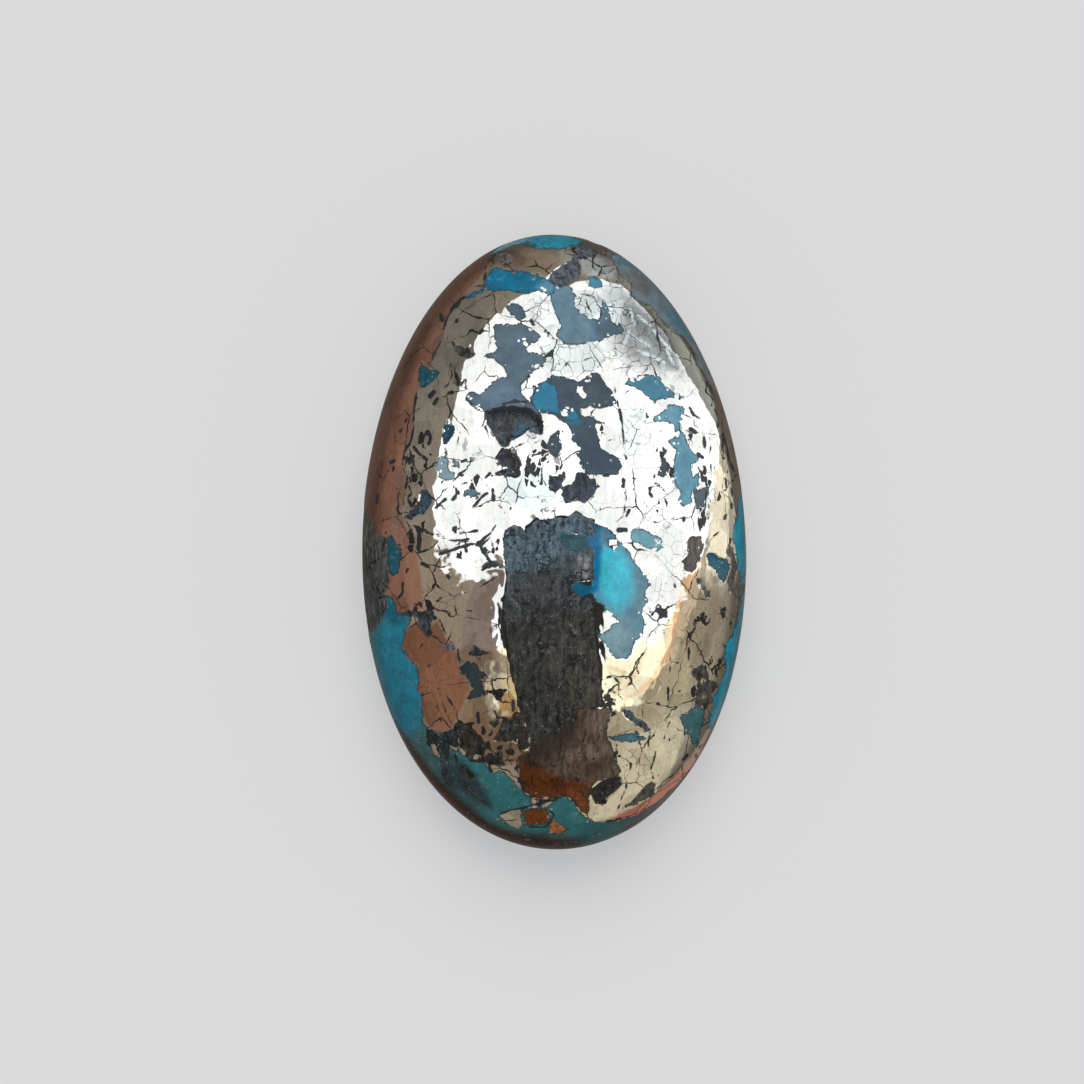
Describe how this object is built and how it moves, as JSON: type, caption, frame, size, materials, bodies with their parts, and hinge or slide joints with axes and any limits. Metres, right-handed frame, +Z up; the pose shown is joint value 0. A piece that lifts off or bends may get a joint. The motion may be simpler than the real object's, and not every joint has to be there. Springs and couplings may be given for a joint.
{
  "type": "turquoise with pyrite cabochon",
  "caption": "Oval domed cabochon of turquoise with bright pyrite, polished on top and ground flat on the back so that it lies or is set on it.",
  "frame": {"origin": "middle of the stone's footprint, on the plane of its flat ground back", "axes": "+Z up out of the dome, +Y along the long axis to the narrower end, which is the upper end in the picture, +X across the stone to the picture's right"},
  "size_m": [0.02, 0.032, 0.0085],
  "materials": {
    "turquoise_with_pyrite": "mirror polished dome, finely ground back"
  },
  "bodies": {
    "root": {"stone": "turquoise_with_pyrite"}
  },
  "joints": []
}
